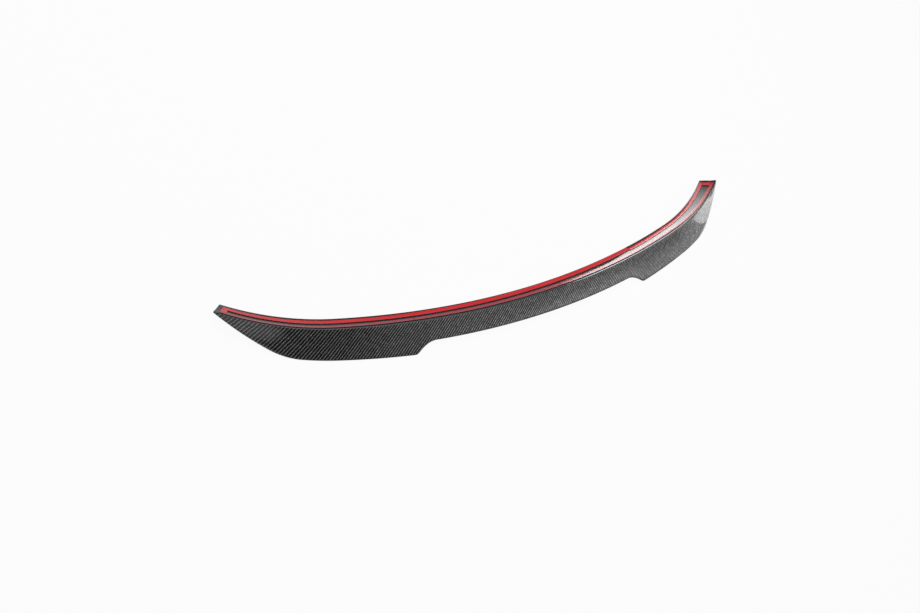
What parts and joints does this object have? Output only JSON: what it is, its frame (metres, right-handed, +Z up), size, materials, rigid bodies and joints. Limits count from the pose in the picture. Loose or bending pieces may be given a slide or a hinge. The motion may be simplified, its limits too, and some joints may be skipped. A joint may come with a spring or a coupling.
{
  "type": "car rear spoiler",
  "caption": "Bowed carbon-fibre lip spoiler for a car's boot lid, with a stepped trailing lip and foam tape under red release liner on its bonding face.",
  "frame": {"origin": "middle of the part's box, on the floor that the part lies on upside down", "axes": "+X along the span, +Y towards the tips of the bow (forwards on the car), +Z up from the floor, the way the taped bonding face looks"},
  "size_m": [1.202, 0.1992, 0.0309],
  "materials": {
    "carbon": "twill carbon fibre under a glossy clear coat",
    "foam": "dark closed-cell foam",
    "liner": "glossy red release film"
  },
  "bodies": {
    "root": {"spoiler_shell": "carbon", "foam_tape_front_long": "foam", "foam_tape_front_short": "foam", "foam_tape_rear_left": "foam", "foam_tape_rear_right": "foam", "foam_tape_end_left": "foam", "foam_tape_end_right": "foam", "release_liner_front_long": "liner", "release_liner_front_short": "liner", "release_liner_rear_left": "liner", "release_liner_rear_right": "liner", "release_liner_end_left": "liner", "release_liner_end_right": "liner"}
  },
  "joints": []
}
